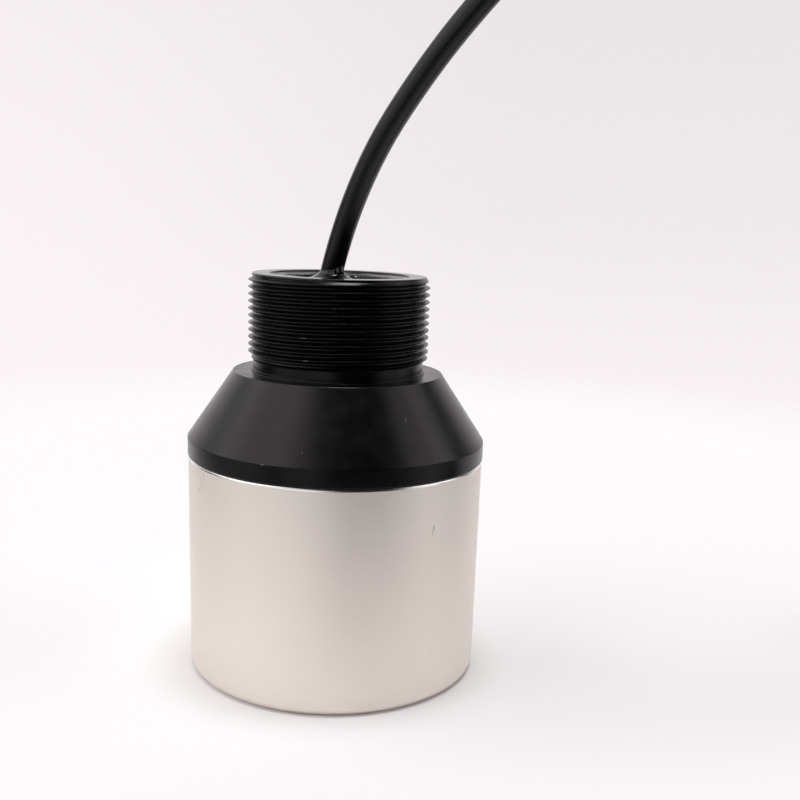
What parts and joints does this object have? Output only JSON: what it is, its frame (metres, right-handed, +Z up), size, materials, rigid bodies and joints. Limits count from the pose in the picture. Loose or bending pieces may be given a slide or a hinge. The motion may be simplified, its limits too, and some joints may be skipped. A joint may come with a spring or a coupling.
{
  "type": "piezoelectric ultrasonic transducer",
  "caption": "Sealed ultrasonic level transducer: an aluminium cup that radiates through its flat face, a black cap with a threaded neck, and a potted cable.",
  "frame": {"origin": "centre of the radiating face, which is also the surface that the transducer stands on", "axes": "+Z up along the axis of the cup and the neck, away from the radiating face; +X towards the side where the cable leaves the picture and its coil lies; -Y towards the picture's viewer"},
  "size_m": [0.3367, 0.0994, 0.2507],
  "materials": {
    "cup_aluminium": "satin",
    "cap_plastic": "satin",
    "potting_resin": "gloss",
    "cable_jacket": "satin",
    "seal_rubber": "matte",
    "bond_epoxy": "gloss",
    "mass_aluminium": "satin",
    "mass_steel": "satin",
    "bolt_steel": "satin",
    "piezo_ceramic": "matte",
    "electrode_brass": "satin",
    "sleeve_white": "matte",
    "foam_cream": "matte",
    "board_green": "satin",
    "ferrite": "matte",
    "bobbin_nylon": "satin",
    "winding_copper": "satin",
    "screw_brass": "satin",
    "capacitor_red": "gloss",
    "sensor_epoxy": "gloss",
    "wire_red": "satin",
    "wire_black": "satin",
    "wire_white": "satin",
    "wire_blue": "satin",
    "tinned_copper": "satin",
    "dam_foam": "matte",
    "tie_nylon": "satin",
    "tie_black": "satin"
  },
  "bodies": {
    "root": {"housing_cup": "cup_aluminium", "housing_cap": "cap_plastic", "housing_seal_ring": "seal_rubber", "face_bond": "bond_epoxy", "front_mass": "mass_aluminium", "piezo_ring_lower": "piezo_ceramic", "electrode_live": "electrode_brass", "piezo_ring_upper": "piezo_ceramic", "electrode_ground": "electrode_brass", "insulating_sleeve": "sleeve_white", "tail_mass": "mass_steel", "bolt_washer": "mass_steel", "clamp_bolt": "bolt_steel", "foam_jacket": "foam_cream", "foam_disc": "foam_cream", "circuit_board": "board_green", "transformer_core_lower": "ferrite", "transformer_core_upper": "ferrite", "transformer_bobbin": "bobbin_nylon", "transformer_winding": "winding_copper", "transformer_screw": "screw_brass", "transformer_nut": "screw_brass", "tuning_capacitor": "capacitor_red", "temperature_sensor": "sensor_epoxy", "sensor_wires": "wire_white", "live_lead": "wire_red", "ground_lead": "wire_black", "potting_dam": "dam_foam", "potting": "potting_resin", "strain_tie": "tie_nylon", "core_red": "wire_red", "core_black": "wire_black", "core_white": "wire_white", "core_blue": "wire_blue", "shield_drain": "tinned_copper", "cable": "cable_jacket", "cable_coil": "cable_jacket", "cable_tail": "cable_jacket", "coil_tie": "tie_black", "end_red": "wire_red", "end_black": "wire_black", "end_white": "wire_white", "end_blue": "wire_blue", "end_drain": "tinned_copper"}
  },
  "joints": []
}
